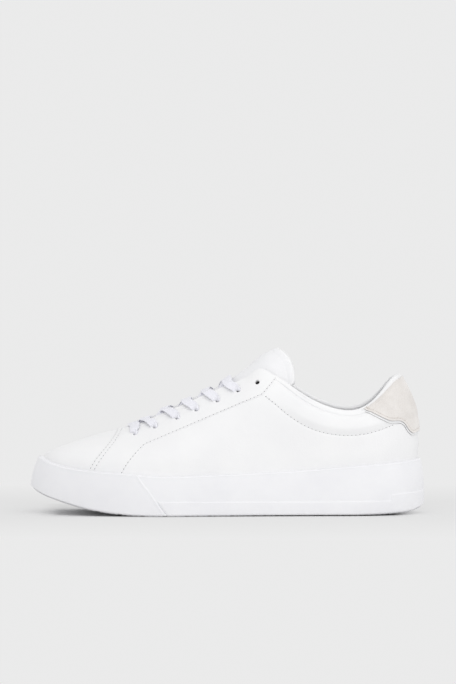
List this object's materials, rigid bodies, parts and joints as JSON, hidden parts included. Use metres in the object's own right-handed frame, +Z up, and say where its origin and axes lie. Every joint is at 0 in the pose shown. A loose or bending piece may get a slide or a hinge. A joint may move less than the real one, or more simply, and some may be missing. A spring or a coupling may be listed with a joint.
{
  "type": "low-top court shoe",
  "caption": "Left low-top court shoe: padded leather upper, laced tongue, suede heel tab, removable sockliner and moulded cupsole.",
  "frame": {"origin": "on the ground under the middle of the shoe's outline, tread down", "axes": "-X towards the toe, +X towards the heel, +Z up, -Y towards the outer (lateral) side"},
  "size_m": [0.3002, 0.1057, 0.1272],
  "materials": {
    "sole_rubber": "matte",
    "eva_foam": "matte",
    "fibreboard": "matte",
    "footbed_fabric": "matte",
    "white_leather": "satin",
    "tongue_leather": "satin",
    "binding_leather": "satin",
    "beige_suede": "matte",
    "reinforcement_fabric": "matte",
    "lining_fabric": "matte",
    "upholstery_foam": "matte",
    "stiffener_plastic": "matte",
    "eyelet_metal": "satin",
    "lace_fabric": "matte",
    "aglet_plastic": "gloss"
  },
  "bodies": {
    "shoe": {"cupsole": "sole_rubber", "midsole_insert": "eva_foam", "insole_board": "fibreboard", "vamp": "white_leather", "eyestay": "white_leather", "quarter_lateral": "white_leather", "quarter_medial": "white_leather", "eyestay_reinforcement_lateral": "reinforcement_fabric", "eyestay_reinforcement_medial": "reinforcement_fabric", "blind_eyelets_lateral": "eyelet_metal", "blind_eyelets_medial": "eyelet_metal", "toe_puff": "stiffener_plastic", "heel_counter": "stiffener_plastic", "collar_foam": "upholstery_foam", "vamp_lining": "lining_fabric", "quarter_lining_lateral": "lining_fabric", "quarter_lining_medial": "lining_fabric", "collar_binding": "binding_leather", "heel_tab_underlay": "binding_leather", "heel_tab": "beige_suede", "shoelace": "lace_fabric", "aglets": "aglet_plastic"},
    "tongue": {"tongue_outer": "tongue_leather", "tongue_foam": "upholstery_foam", "tongue_lining": "lining_fabric"},
    "footbed": {"sockliner": "footbed_fabric"}
  },
  "joints": [
    {"name": "tongue_fold", "type": "hinge", "parent": "shoe", "child": "tongue", "pos_m": [-0.08, 0, 0.06], "axis": [0, 1, 0], "range_deg": [0, 10], "stiffness_Nm_per_rad": 0.1, "springref_deg": -17.19},
    {"name": "sockliner_lift", "type": "hinge", "parent": "shoe", "child": "footbed", "pos_m": [-0.131, 0, 0.026], "axis": [0, -1, 0], "range_deg": [0, 5]}
  ]
}
